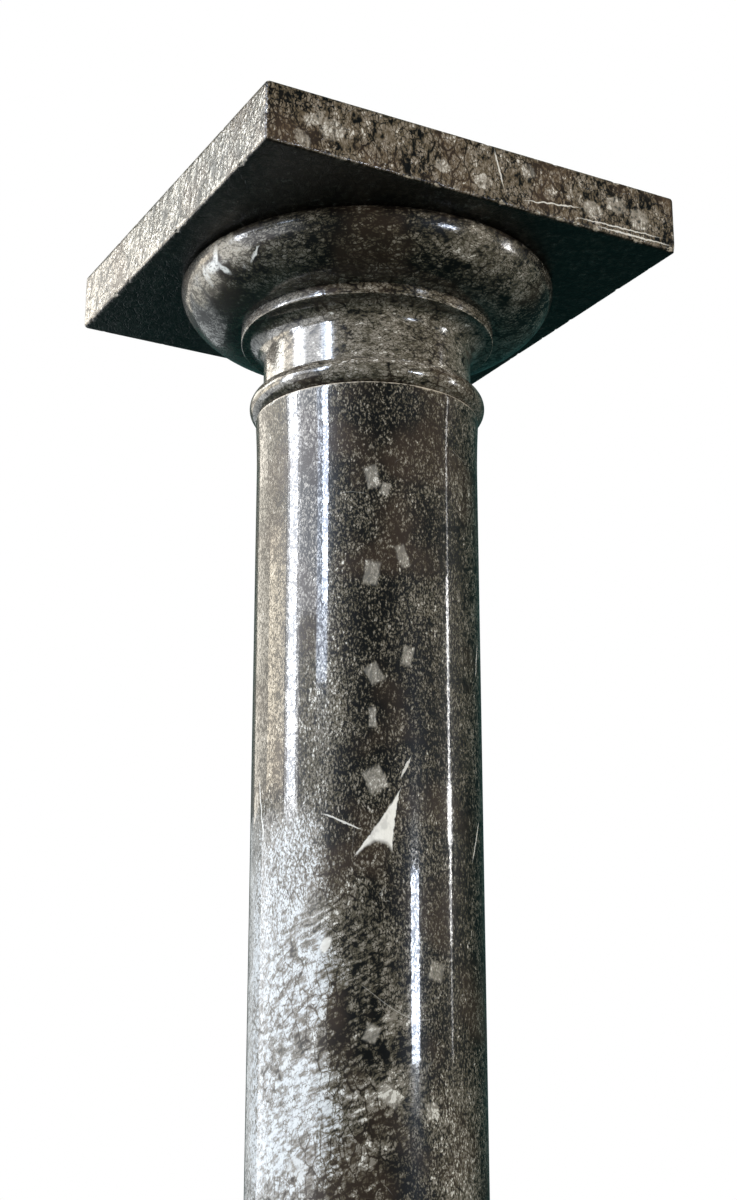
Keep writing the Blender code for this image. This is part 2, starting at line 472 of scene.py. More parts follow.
def add(tree, kind, settings, links):
    """Adds a shader node with its settings, sets or links its inputs, and gives its outputs."""
    node = tree.nodes.new("ShaderNode" + kind)
    for name, value in settings.items():
        setattr(node, name, value)
    for socket, value in links.items() if isinstance(links, dict) else enumerate(links):
        if isinstance(value, bpy.types.NodeSocket):
            tree.links.new(value, node.inputs[socket])
        else:
            node.inputs[socket].default_value = value
    return node.outputs


def per(millimetres):
    """The texture scale that gives a pattern with features of this size."""
    return 1 / (millimetres * MILLIMETRE)


def strongest(tree, amounts):
    """The strongest of several amounts."""
    found = amounts[0]
    for amount in amounts[1:]:
        found = add(tree, "Math", LARGER, (found, amount))[0]
    return found


def warped(tree, place, size, shift):
    """The place pushed about by a noise, size and shift in millimetres, so that edges are ragged."""
    push = add(tree, "TexNoise", {}, {"Vector": place, "Scale": per(size), "Detail": 3.0,
                                      "Roughness": 0.6})
    centred = add(tree, "VectorMath", SUBTRACT, (push["Color"], (0.5, 0.5, 0.5)))[0]
    moved = add(tree, "VectorMath", {"operation": "SCALE"},
                {0: centred, "Scale": shift * MILLIMETRE})[0]
    return add(tree, "VectorMath", ADD, (place, moved))[0]


def fragments(tree, place, size, stretch, turn, share):
    """Pale fossil fragments: a share of the cells of a broken pattern, each cut to a ragged block."""
    laid = add(tree, "Mapping", {}, {"Vector": place, "Rotation": turn, "Scale": stretch})[0]
    cells = add(tree, "TexVoronoi", {"distance": "CHEBYCHEV"},
                {"Vector": laid, "Scale": per(size), "Randomness": 0.9})
    pick = add(tree, "SeparateColor", {}, (cells["Color"],))
    chosen = add(tree, "Math", {"operation": "GREATER_THAN"}, (pick["Red"], 1 - share))[0]
    reach = add(tree, "MapRange", {}, (pick["Green"], 0.0, 1.0, *FRAGMENT_REACH))[0]
    inside = add(tree, "Math", SUBTRACT, (reach, cells["Distance"]))[0]
    return add(tree, "MapRange", SMOOTH, (inside, -0.03, 0.05, 0.0, chosen))[0]


def hairlines(tree, place, size, width, presence):
    """Thin curved lines, the level line of a noise, broken up by another noise."""
    field = add(tree, "TexNoise", {}, {"Vector": place, "Scale": per(size), "Detail": 1.2,
                                       "Roughness": 0.4})[0]
    off = add(tree, "Math", SUBTRACT, (field, 0.5))[0]
    away = add(tree, "Math", UNSIGNED, (off,))[0]
    gaps = add(tree, "TexNoise", {}, {"Vector": place, "Scale": per(size * 0.4), "Detail": 1.0})[0]
    shown = add(tree, "MapRange", SMOOTH, (gaps, presence, presence + 0.05))[0]
    return add(tree, "MapRange", SMOOTH, (away, width, width * 0.3, 0.0, shown))[0]


def from_spot(tree, place, centre, turn, lean, halves):
    """The place measured from a spot's centre, across it, inwards and along it, in its halves."""
    return add(tree, "Mapping", FROM_SPOT,
               {"Vector": place, "Location": centre, "Rotation": (0.0, math.radians(lean), turn),
                "Scale": [half * MILLIMETRE for half in halves]})[0]


def on_round(tree, place, radius, spot):
    """The place measured from a spot on a turned stone."""
    turn, depth, half_width, half_length, lean = spot
    angle = CAMERA_TURN + math.radians(turn)
    centre = (math.sin(angle) * radius, -math.cos(angle) * radius,
              SHAFT_BOX[1].z - depth * MILLIMETRE)
    halves = (half_width, max(MARK_DEPTH, half_width), half_length)
    return from_spot(tree, place, centre, angle, lean, halves)


def on_face(tree, place, spot):
    """The place measured from a spot on the top slab's face at the right."""
    along, above, half_width, half_length, lean = spot
    centre = (along * MILLIMETRE, TOP_BOX[0].y, TOP_BOX[0].z + above * MILLIMETRE)
    return from_spot(tree, place, centre, 0.0, lean, (half_width, MARK_DEPTH, half_length))


def ovals(tree, places, outer, inner, strength=1.0):
    """The strongest of several ovals, each fading in from an outer to an inner share of itself."""
    amounts = []
    for near in places:
        span = add(tree, "VectorMath", {"operation": "LENGTH"}, (near,))["Value"]
        amounts.append(add(tree, "MapRange", SMOOTH, (span, outer, inner, 0.0, strength))[0])
    return strongest(tree, amounts)


def round_ovals(tree, place, radius, spots, *shape):
    """Ovals at several spots on a turned stone."""
    return ovals(tree, [on_round(tree, place, radius, spot) for spot in spots], *shape)


def blocks(tree, place, spots):
    """Square-cornered fragments at several spots on the shaft."""
    amounts = []
    for spot in spots:
        span = add(tree, "SeparateXYZ", {}, (on_round(tree, place, SHAFT_BOX[1].x, spot),))
        halves = [add(tree, "Math", UNSIGNED, (axis,))[0] for axis in span]
        amounts.append(add(tree, "MapRange", SMOOTH, (strongest(tree, halves), 1.2, 0.75))[0])
    return strongest(tree, amounts)


def vein_wedge(tree, place, strength):
    """A wedge of white calcite that tapers to its upper end and is hollowed at its foot."""
    span = add(tree, "SeparateXYZ", {}, (on_round(tree, place, SHAFT_BOX[1].x, VEIN_WEDGE),))
    across, along = span["X"], span["Z"]
    width = add(tree, "Math", UNSIGNED, (across,))[0]
    rest = add(tree, "Math", {**MULTIPLY_ADD, "use_clamp": True}, (along, -1.0, 1.0))[0]
    taper = add(tree, "Math", {"operation": "POWER"}, (rest, VEIN_TAPER))[0]
    sides = add(tree, "Math", SUBTRACT, (taper, width))[0]
    hollow = add(tree, "Math", MULTIPLY, (across, across))[0]
    slope = add(tree, "Math", MULTIPLY_ADD, (across, -VEIN_SLOPE, along))[0]
    foot = add(tree, "Math", MULTIPLY_ADD, (hollow, VEIN_HOLLOW, slope))[0]
    raised = add(tree, "Math", ADD, (foot, -VEIN_HOLLOW))[0]
    inside = add(tree, "Math", {"operation": "MINIMUM"}, (sides, raised))[0]
    depth = add(tree, "Math", UNSIGNED, (span["Y"],))[0]
    near = add(tree, "MapRange", SMOOTH, (depth, 1.6, 1.2, 0.0, strength))[0]
    return add(tree, "MapRange", SMOOTH, (inside, -0.01, 0.07, 0.0, near))[0]


# Sizes of the stone's patterns in millimetres: drifts of paler stone, rust stains, crumbs of shell,
# grit, the dark seams round the crumbs, and the cracks. Real grit and seams of such a stone are 0.2 to
# 0.5 mm, too fine for the render, so they are drawn as coarse as they need to be to show.
CLOUD_SIZE = 60
RUST_SIZE = 45
CRUMB_SIZE = 7
GRIT_SIZE = 1.5
SEAM_SIZE = 2.1
CRACK_SIZE = 8

# Two kinds of shell fragment: their size in millimetres, how their cells are stretched and turned, and
# the share of the cells that hold one. Then how far a fragment reaches in its cell.
SHELLS = (
    (18, (1.0, 1.0, 0.6), (0.5, 0.2, 0.3), 0.1),
    (9, (1.0, 0.7, 1.0), (1.0, 0.7, 0.1), 0.12),
)
FRAGMENT_REACH = (0.12, 0.4)

# Two kinds of hairline: how far apart its bends are in millimetres, its width, and how much is gaps.
LONG_LINES = (130, 0.0007, 0.58)
SHORT_LINES = (60, 0.0012, 0.62)

# The pattern's value says how pale the stone is, from mud at 0.4 to the palest shell at 0.76. This is
# its mean, then how far seams lower it and how far each kind of mark raises it.
MEAN_VALUE = 0.49
SEAM_DROP = 0.13
DRIFT_LIFT = 0.03
SHELL_LIFT = 0.05
CLAST_LIFT = 0.13
BAND_LIFT = 0.11
WORN_LIFT = 0.1
LIGHT_LIFT = 0.08
NECK_LIFT = 0.05
ZONE_LIFT = 0.2

# The values between which each colour comes in. Stain, drift and gloss go by a noise of their own
# instead, and bruises by the wear.
GROUND_FADE = (0.42, 0.51)
CRUMB_FADE = (0.5, 0.61)
PALE_FADE = (0.64, 0.76)
FILM_FADE = (0.42, 0.52)
CLOUD_AND_REFLECTION_FADE = (0.56, 0.72)
RUBBED_FADE = (0.47, 0.6)
MUD_FADE = (0.52, 0.4)
STAIN_FADE = (0.46, 0.66)
DRIFT_FADE = (0.32, 0.68)
BRUISE_FADE = (0.25, 0.6)
GLOSS_FADE = (0.3, 0.7)

# How fully the colours of wear and marks cover the stone, a cloudy zone's, pale stone with a painted
# bluish reflection, as so many times its lift.
BRUISE_COVER = 0.85
RUBBED_COVER = (0.2, 0.8)
CLOUD_AND_REFLECTION_COVER = 3.0
LINE_COVER = 0.2
VEIN_COVER = 0.7
CLAST_COVER = 0.28
UNDERSIDE_SHADE_COVER = 0.97

# How dull mud and the painted shade under the top slab are. Full dullness adds this much roughness, and
# leaves this much of the coat.
MUD_DULLNESS = 0.75
UNDERSIDE_SHADE_DULLNESS = 0.75
DULL_ROUGHNESS = 0.4
COAT_LEFT = 0.1

# How rough the polished stone is, from crumb to crumb, and how many millimetres deep a mark goes.
STONE_ROUGHNESS = (0.1, 0.2)
MARK_DEPTH = 6

# Marks on the shaft: turn to the right of the camera's side in degrees, depth below the shaft's
# top, half width and half length in millimetres, and lean to the right in degrees. The shaft's grit
# is drawn out to streaks in the flow zone only.
# The pale zones on the shaft's left are partly pale stone and partly a painted reflection of the
# windows.
PALE_ZONES = (
    (-44, 316, 36, 56, 20),
    (-37, 376, 34, 48, 15),
    (-36, 455, 38, 54, 10),
    (-60, 400, 26, 150, 0),
)
PALE_BANDS = (
    (44, 478, 24, 62, 0),
    (-24, 338, 16, 40, 50),
    (4, 437, 12, 48, 62),
    (14, 395, 7, 30, 62),
    (-6, 474, 10, 40, 58),
    (-22, 210, 17, 95, 4),
)
FLOW_ZONES = (
    (-22, 430, 62, 110, 0),
)

# How the streaks of a stone are drawn out: the side that they lean on, their lean, how many times
# longer they are than wide, and their width in millimetres, then their share of the grit outside the
# shaft.
STREAKS = {
    "shaft": (-20, 64, 3.6, 2.8),
    "capital": (0, 88, 3.0, 1.8),
    "top_slab": (-61, 34, 2.2, 3.8),
}
STREAK_SHARE = 0.7

# The wedge of white calcite in the same measures, and the curve of its sides and foot.
VEIN_WEDGE = (3.2, 303, 11, 48, 21)
VEIN_SLOPE = 0.08
VEIN_TAPER = 1.35
VEIN_HOLLOW = 0.2
THIN_VEINS = (
    (-12, 281, 0.6, 13, -66),
    (18.5, 248, 0.9, 7, 25),
    (-19, 353, 3.0, 5, 30),
    (-62, 268, 0.8, 20, -12),
    (66, 286, 0.8, 14, 25),
    (71, 170, 0.8, 12, 15),
)
GREY_BLOCKS = (
    (2.5, 64, 4.0, 7, -12),
    (9, 72, 2.8, 4, 20),
    (2.2, 127, 4.6, 7.5, 8),
    (17.4, 115, 3.4, 7, -20),
    (3.5, 191, 4.5, 6, -30),
    (19.7, 179, 3.4, 6, 10),
    (2.6, 218, 2.2, 6, 0),
    (4, 256, 6, 7, -25),
    (33.8, 368, 5, 5.5, 15),
    (2.1, 404, 4.2, 5, 20),
    (10.6, 439, 6.5, 4.6, 35),
    (31, 447, 4, 4.6, -10),
    (-33, 478, 6.5, 5, 30),
)

# The ring and the neck are paler than the echinus: how far below the slab that begins, and over what
# height it fades in.
NECK_BELOW = 30 * MILLIMETRE
NECK_FADE = 6 * MILLIMETRE

# Painted shade on the slab's underside, a near-black colour: how far up the slab's edge it begins, and
# is full.
UNDERSIDE_SHADE_TOP = 1.2 * MILLIMETRE
UNDERSIDE_SHADE_FULL = 0.2 * MILLIMETRE

# Marks on the echinus, in the same measures, and the radius that they lie at.
ECHINUS_REACH = 0.122
ECHINUS_PALE = (
    (-60, -74, 15, 15, 0),
    (-47, -88, 22, 9, 12),
    (-70, -66, 12, 18, 0),
)
ECHINUS_LIGHT = (
    (38, -84, 34, 12, 0),
    (62, -74, 16, 16, 0),
)
ECHINUS_VEINS = (
    (-51, -88, 2.2, 8, 30),
    (-55, -81.5, 7, 2.6, 0),
    (-60, -78, 2.4, 7, 15),
    (-50, -76, 2.0, 6, -40),
    (-37, -77.5, 0.9, 6.5, 60),
    (-43, -74, 1.2, 2.6, 60),
)

# Marks on the slab's face at the right: along it from the middle to the right, height above its
# underside, half width, half length and lean.
SLAB_SPOTS = (
    (-126, 7, 7, 5, 40),
    (-106, 18, 9, 7, -30),
    (-118, 22, 4, 9, 50),
    (-29, 15, 6, 5, 10),
    (0, 12, 7, 5, -20),
    (34, 28, 5, 6, 0),
    (83, 14, 7, 7, 20),
    (102, 22, 9, 6, -10),
    (120, 16, 8, 8, 10),
)
SLAB_VEINS = (
    (52, 10, 20, 0.5, -8),
    (12, 24, 0.6, 12, -15),
    (116, 3.4, 27, 0.6, -1),
    (104, 6.5, 30, 0.5, -2),
)


@dataclass
class Look:
    """How one stone lies in the pattern, and how its faces differ from the others'.

    The relief is how strongly its pits show, and the film how milky its mud is.
    """

    shift: tuple
    turn: tuple
    bedding: tuple = (1.0, 1.0, 0.7)
    paleness: float = 0.0
    contrast: float = 1.25
    coarse: float = 0.4
    rusty: float = 0.3
    film: float = 0.0
    polish_roughness: float = 0.02
    relief: float = 0.012


LOOKS = {
    "plinth": Look((0.2, 0.9, 0.3), (0.9, 0.2, 0.3)),
    "base": Look((0.7, 0.1, 0.1), (0.1, 0.3, 0.9)),
    "shaft": Look((0.0, 0.0, 0.0), (0.0, 0.0, 0.0), (1.25, 1.25, 0.65)),
    "capital": Look((0.0, 0.52, 0.2), (0.2, 0.5, 0.0), (0.7, 0.7, 1.3), paleness=0.012,
                    contrast=1.15, coarse=0.55, polish_roughness=0.05, relief=0.1),
    "top_slab": Look((0.31, 0.12, 0.0), (0.3, 0.1, 0.4), (1.0, 0.8, 0.6), paleness=0.055,
                     contrast=1.5, coarse=0.6, rusty=0.5, film=0.26, relief=0.6),
}


def stone_grain(tree, stone):
    """The noises that one stone is made of, where they and its marks are drawn, and its wear."""
    look = LOOKS[stone]
    grain = SimpleNamespace(where=add(tree, "TexCoord", {}, {})["Object"])
    grain.wear = add(tree, "Attribute", {"attribute_name": "wear"}, {})["Fac"]
    grain.place = add(tree, "Mapping", {}, {"Vector": grain.where, "Location": look.shift,
                                            "Rotation": look.turn})[0]
    grain.ragged = warped(tree, grain.place, 5, 2.6)
    grain.near = warped(tree, grain.where, 5, 3)
    grain.loose = warped(tree, grain.where, 22, 26)
    bent = warped(tree, grain.where, 9, 3.0)
    grain.bedded = add(tree, "Mapping", {}, {"Vector": bent, "Location": look.shift,
                                             "Scale": look.bedding})[0]
    drifting = warped(tree, grain.place, 30, 16)
    grain.clouds = add(tree, "TexNoise", {}, {"Vector": drifting, "Scale": per(CLOUD_SIZE),
                                              "Detail": 3.0, "Roughness": 0.6})[0]
    grain.rust = add(tree, "TexNoise", {}, {"Vector": grain.place, "Scale": per(RUST_SIZE),
                                            "Detail": 2.0})[0]
    grain.body = add(tree, "TexNoise", {}, {"Vector": grain.bedded, "Scale": per(CRUMB_SIZE),
                                            "Detail": 2.6, "Roughness": 0.75})[0]
    grain.grit = add(tree, "TexNoise", {}, {"Vector": grain.bedded, "Scale": per(GRIT_SIZE),
                                            "Detail": 1.2, "Roughness": 0.8})[0]
    if stone in STREAKS:
        turned, lean, stretch, size = STREAKS[stone]
        drawn = add(tree, "Mapping", FROM_SPOT,
                    {"Vector": bent,
                     "Rotation": (0.0, math.radians(lean), CAMERA_TURN + math.radians(turned)),
                     "Scale": (1.0, 1.0, stretch)})[0]
        grain.streaks = add(tree, "TexNoise", {}, {"Vector": drawn, "Scale": per(size),
                                                   "Detail": 2.0, "Roughness": 0.7})[0]
        share = STREAK_SHARE
        if stone == "shaft":
            share = round_ovals(tree, grain.loose, SHAFT_BOX[1].x, FLOW_ZONES, 1.1, 0.8)
        grain.grit = add(tree, "Mix", {}, {FACTOR: share, NUMBER: grain.grit,
                                           OTHER_NUMBER: grain.streaks})[0]
    return grain


def crackle(tree, grain):
    """Dark seams between crumbs and wider cracks between clods, each only in some places."""
    crumpled = warped(tree, grain.bedded, 3, 2.2)
    amounts = []
    for size, edge, field, among in ((SEAM_SIZE, (0.13, 0.03), grain.body, (0.42, 0.58, 0.2, 1.0)),
                                     (CRACK_SIZE, (0.07, 0.02), grain.rust, (0.4, 0.55))):
        away = add(tree, "TexVoronoi", TO_SEAM, {"Vector": crumpled, "Scale": per(size)})[0]
        shown = add(tree, "MapRange", SMOOTH, (field, *among))[0]
        amounts.append(add(tree, "MapRange", SMOOTH, (away, *edge, 0.0, shown))[0])
    return strongest(tree, amounts)


class Marks:
    """A stone's marks at known places, with the amounts that raise its value and by how much."""

    def __init__(self):
        self.lifts = []
        self.veins = []
        self.zones = None
        self.clasts = None
        self.worn = None
        self.underside_shade = None


def shaft_marks(tree, grain):
    """The shaft's cloudy zones of pale stone with a painted reflection, pale bands, grey fragments,
    thin veins and wedge of calcite.
    """
    marks = Marks()
    radius = SHAFT_BOX[1].x
    marks.clasts = blocks(tree, grain.near, GREY_BLOCKS)
    marks.zones = round_ovals(tree, grain.loose, radius, PALE_ZONES, 1.2, 0.5, ZONE_LIFT)
    bands = round_ovals(tree, grain.loose, radius, PALE_BANDS, 1.3, 0.4, BAND_LIFT)
    marks.lifts = [(strongest(tree, [marks.zones, bands]), 1.0), (marks.clasts, CLAST_LIFT)]
    milky = add(tree, "MapRange", SMOOTH, (grain.body, 0.3, 0.5, 0.72, 0.98))[0]
    marks.veins = [round_ovals(tree, grain.near, radius, THIN_VEINS, 1.2, 0.8, VEIN_COVER),
                   vein_wedge(tree, grain.near, milky)]
    return marks


def capital_marks(tree, grain):
    """The capital's torn white veins and rubbed cheek, its paler right side and its paler neck."""
    marks = Marks()
    ragged = warped(tree, grain.where, 6, 4)
    broken = add(tree, "MapRange", SMOOTH, (grain.grit, 0.36, 0.5, 0.3, 1.0))[0]
    marks.veins = [round_ovals(tree, ragged, ECHINUS_REACH, ECHINUS_VEINS, 1.4, 0.7, broken)]
    marks.worn = round_ovals(tree, grain.loose, ECHINUS_REACH, ECHINUS_PALE, 1.2, 0.6)
    light = round_ovals(tree, grain.loose, ECHINUS_REACH, ECHINUS_LIGHT, 1.3, 0.6)
    height = add(tree, "SeparateXYZ", {}, (grain.where,))["Z"]
    ring = CAPITAL_BOX[1].z - NECK_BELOW
    neck = add(tree, "MapRange", SMOOTH, (height, ring, ring - NECK_FADE))[0]
    marks.lifts = [(marks.worn, WORN_LIFT), (neck, NECK_LIFT), (light, LIGHT_LIFT)]
    return marks


def slab_marks(tree, grain):
    """The fragments and thin veins on the top slab's face at the right, and the painted shade
    underneath.
    """
    marks = Marks()
    ragged = warped(tree, grain.where, 4, 7)
    broken = add(tree, "MapRange", SMOOTH, (grain.grit, 0.38, 0.52, 0.35, 1.0))[0]
    spots = [on_face(tree, ragged, spot) for spot in SLAB_SPOTS]
    marks.clasts = ovals(tree, spots, 1.1, 0.8, broken)
    marks.lifts = [(marks.clasts, CLAST_LIFT)]
    thin = [on_face(tree, grain.near, spot) for spot in SLAB_VEINS]
    marks.veins = [ovals(tree, thin, 1.3, 0.7, VEIN_COVER)]
    # Painted shade: a near-black sheet over the slab's underside, broken by streaky gaps.
    height = add(tree, "SeparateXYZ", {}, (grain.where,))["Z"]
    top, full = TOP_BOX[0].z + UNDERSIDE_SHADE_TOP, TOP_BOX[0].z + UNDERSIDE_SHADE_FULL
    shade_streaked = add(tree, "MapRange", SMOOTH, (grain.streaks, 0.4, 0.62, 1.0, 0.8))[0]
    marks.underside_shade = add(tree, "MapRange", SMOOTH, (height, top, full, 0.0, shade_streaked))[0]
    return marks


PLACED_MARKS = {"shaft": shaft_marks, "capital": capital_marks, "top_slab": slab_marks}


def stone_value(tree, look, grain, marks):
    """How pale the stone is, from its grains, its seams, its broken shells and its marks."""
    large = add(tree, "Math", MULTIPLY, (grain.body, look.coarse))[0]
    value = add(tree, "Math", MULTIPLY_ADD, (grain.grit, 1 - look.coarse, large))[0]
    value = add(tree, "Math", MULTIPLY_ADD, (crackle(tree, grain), -SEAM_DROP, value))[0]
    drift = add(tree, "MapRange", SMOOTH, (grain.clouds, *DRIFT_FADE, -DRIFT_LIFT, DRIFT_LIFT))[0]
    value = add(tree, "Math", ADD, (value, drift))[0]
    level = look.paleness + MEAN_VALUE - 0.5 * look.contrast
    value = add(tree, "Math", MULTIPLY_ADD, (value, look.contrast, level))[0]
    shells = strongest(tree, [fragments(tree, grain.ragged, *kind) for kind in SHELLS])
    value = add(tree, "Math", MULTIPLY_ADD, (shells, SHELL_LIFT, value))[0]
    for amount, lift in marks.lifts:
        value = add(tree, "Math", MULTIPLY_ADD, (amount, lift, value))[0]
    return value


def stone_layers(tree, colours, look, grain, marks, value):
    """The stone's colours in the order that they are laid, each with how fully it covers."""
    layers = []
    for tone, field, fade in ((colours.ground, value, GROUND_FADE),
                              (colours.stain, grain.rust, (*STAIN_FADE, 0.0, look.rusty)),
                              (colours.crumb, value, CRUMB_FADE),
                              (colours.pale, value, PALE_FADE),
                              (colours.film, value, (*FILM_FADE, 0.0, look.film))):
        layers.append((tone, add(tree, "MapRange", SMOOTH, (field, *fade))[0]))
    # Painted bluish reflection laid over the pale zones, together with their own pale stone.
    if marks.zones:
        palest = add(tree, "MapRange", SMOOTH, (value, *CLOUD_AND_REFLECTION_FADE, 0.0, CLOUD_AND_REFLECTION_COVER))[0]
        layers.append((colours.cloud_and_reflection, add(tree, "Math", MULTIPLY, (marks.zones, palest))[0]))
    lines = strongest(tree, [hairlines(tree, grain.place, *LONG_LINES),
                             hairlines(tree, grain.ragged, *SHORT_LINES)])
    layers.append((colours.vein, add(tree, "Math", MULTIPLY, (lines, LINE_COVER))[0]))
    if marks.clasts:
        layers.append((colours.clast, add(tree, "Math", MULTIPLY, (marks.clasts, CLAST_COVER))[0]))
    layers += [(colours.vein, amount) for amount in marks.veins]
    bruised = add(tree, "MapRange", SMOOTH, (grain.wear, *BRUISE_FADE, 0.0, BRUISE_COVER))[0]
    layers.append((colours.bruise, bruised))
    if marks.worn:
        bare = add(tree, "MapRange", SMOOTH, (value, *RUBBED_FADE, *RUBBED_COVER))[0]
        layers.append((colours.bruise, add(tree, "Math", MULTIPLY, (marks.worn, bare))[0]))
    # The painted shade of the slab's underside, laid over everything else.
    if marks.underside_shade:
        layers.append((colours.underside_shade, add(tree, "Math", MULTIPLY, (marks.underside_shade, UNDERSIDE_SHADE_COVER))[0]))
    return layers


def laid_over(tree, tone, layers):
    """A colour with others laid over it in turn, each where its amount says."""
    for layer, amount in layers:
        mixed = add(tree, "Mix", COLOURS, {FACTOR: amount, COLOUR: tone, OTHER_COLOUR: layer})
        tone = mixed[MIXED_COLOUR]
    return tone


def dullness(tree, grain, marks, value):
    """Where the polish is gone: on worn arrises, on mud, on the rubbed cheek and under the painted
    shade.
    """
    mud = add(tree, "MapRange", SMOOTH, (value, *MUD_FADE, 0.0, MUD_DULLNESS))[0]
    dulled = [grain.wear, mud]
    if marks.worn:
        dulled.append(marks.worn)
    if marks.underside_shade:
        dulled.append(add(tree, "Math", MULTIPLY, (marks.underside_shade, UNDERSIDE_SHADE_DULLNESS))[0])
    return strongest(tree, dulled)


# Polished fossil limestone, sold as marble. A polish shows its broken shells and lime mud as sharply
# as wet stone does, and mirrors a window as a clear strip with crisp edges. The mud takes less of the
# polish than the shells, so a reflection is dimmer and softer on it. The coat is that polish, at the
# 1.5 of calcite. The stone under it is nearly matt, with an IOR below calcite's, because worn and
# muddy spots, where the coat is thin, scatter light and hardly mirror it.
STONE_IOR = 1.3
POLISH_IOR = 1.5


def marble(stone, colours):
    """Polished fossil marble: lime mud full of crumbs, with broken shells, veins and stains."""
    look = LOOKS[stone]
    material = bpy.data.materials.new(stone + "_polished_marble")
    material.use_nodes = True
    tree = material.node_tree
    tree.nodes.clear()
    grain = stone_grain(tree, stone)
    marks = PLACED_MARKS[stone](tree, grain) if stone in PLACED_MARKS else Marks()
    value = stone_value(tree, look, grain, marks)
    layers = stone_layers(tree, colours, look, grain, marks, value)
    tone = laid_over(tree, colours.dark, layers)
    dull = dullness(tree, grain, marks, value)

    gloss = add(tree, "MapRange", {}, (grain.grit, *GLOSS_FADE, *STONE_ROUGHNESS))[0]
    rough = add(tree, "Math", {**MULTIPLY_ADD, "use_clamp": True}, (dull, DULL_ROUGHNESS, gloss))[0]
    coat = add(tree, "MapRange", {}, (dull, 0.0, 1.0, 1.0, COAT_LEFT))[0]
    pits = add(tree, "Bump", {}, {"Strength": look.relief, "Distance": MILLIMETRE, "Height": value})[0]
    shader = add(tree, "BsdfPrincipled", {},
                 {"Base Color": tone, "Roughness": rough, "IOR": STONE_IOR, "Coat Weight": coat,
                  "Coat Roughness": look.polish_roughness, "Coat IOR": POLISH_IOR,
                  "Normal": pits, "Coat Normal": pits})[0]
    add(tree, "OutputMaterial", {}, {"Surface": shader})
    return material


def dress(piece, node):
    """Gives a piece its marble, and lets it stand for its plain solid."""
    piece.data.materials.append(marble(node, bpy.context.scene.column_colours))
    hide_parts(node)


class COLUMN_OT_top_slab(bpy.types.Operator):
    """Adds the square top slab with its worn arrises"""

    bl_idname = "column.top_slab"
    bl_label = "Top slab"

    def execute(self, context):
        sizes = context.scene.column_sizes
        form = slab_form(TOP_BOX, sizes.top_round, sizes)
        wear_slab(form, TOP_BOX, sizes.slab_arris, seed=11, chips=14)
        dress(finished("worn_top_slab", form), "top_slab")
        return {"FINISHED"}


class COLUMN_OT_capital(bpy.types.Operator):
    """Adds the turned capital with echinus, ring, neck and bead"""

    bl_idname = "column.capital"
    bl_label = "Capital"

    def execute(self, context):
        sizes = context.scene.column_sizes
        form = turned_form(capital_outline(sizes))
        neck = sizes.shaft_radius - sizes.neck_inset
        ring = neck + sizes.neck_cove + sizes.ring_soffit
        ring_foot = CAPITAL_BOX[1].z - sizes.echinus_height - sizes.ring_height
        arrises = [(ring, ring_foot, (1, -1), RING_REACH)]
        wear_round(form, CAPITAL_BOX, arrises, seed=21, nicks=10)
        dress(finished("turned_capital", form), "capital")
        return {"FINISHED"}


class COLUMN_OT_shaft(bpy.types.Operator):
    """Adds the plain round shaft"""

    bl_idname = "column.shaft"
    bl_label = "Shaft"

    def execute(self, context):
        sizes = context.scene.column_sizes
        form = turned_form(shaft_outline(sizes))
        arrises = [(SHAFT_BOX[1].x, SHAFT_BOX[1].z, (1, 1), SHAFT_REACH),
                   (SHAFT_BOX[1].x, SHAFT_BOX[0].z, (1, -1), SHAFT_REACH)]
        wear_round(form, SHAFT_BOX, arrises, seed=31, nicks=12)
        dress(finished("turned_shaft", form), "shaft")
        return {"FINISHED"}


class COLUMN_OT_base(bpy.types.Operator):
    """Adds the turned base with cove, fillet and torus"""

    bl_idname = "column.base"
    bl_label = "Base"

    def execute(self, context):
        sizes = context.scene.column_sizes
        form = turned_form(base_outline(sizes))
        fillet = SHAFT_BOX[1].x + sizes.base_cove + sizes.base_ledge
        ledge = BASE_BOX[1].z - sizes.base_cove
        arrises = [(fillet, ledge, (1, 1), FILLET_REACH)]
        wear_round(form, BASE_BOX, arrises, seed=41, nicks=8)
        dress(finished("turned_base", form), "base")
        return {"FINISHED"}


class COLUMN_OT_plinth(bpy.types.Operator):
    """Adds the square plinth with its worn arrises"""

    bl_idname = "column.plinth"
    bl_label = "Plinth"

    def execute(self, context):
        sizes = context.scene.column_sizes
        form = slab_form(PLINTH_BOX, sizes.plinth_round, sizes)
        wear_slab(form, PLINTH_BOX, sizes.slab_arris, seed=51, chips=12)
        dress(finished("worn_plinth", form), "plinth")
        return {"FINISHED"}


def beside_camera(turn, distance, height):
    """A point round the column, turned in degrees to the right of the camera's side."""
    angle = CAMERA_TURN + math.radians(turn)
    return Vector((math.sin(angle) * distance, -math.cos(angle) * distance, height))


def soft_light(name, turn, distance, height, width, tall, radiance, tint):
    """A rectangular studio light that faces the column's axis."""
    data = bpy.data.lights.new(name, "AREA")
    data.shape = "RECTANGLE"
    data.size = width
    data.size_y = tall
    data.energy = radiance * math.pi * width * tall
    data.color = linear(tint)[:3]
    light = bpy.data.objects.new(name, data)
    bpy.context.scene.collection.objects.link(light)
    light.location = beside_camera(turn, distance, height)
    target = Vector((0.0, 0.0, height))
    light.rotation_euler = (target - light.location).to_track_quat("-Z", "Y").to_euler()
    light.visible_camera = False
    return light


# The dim light of the room from all sides, and the light of the wide studio on the floor, which the
# small lights alone would leave dark far away.
ROOM_LIGHT = 0.26
FLOOR_GLOW = 0.5
FLOOR_HALF = 12.0
STIPPLE_SIZE = 6


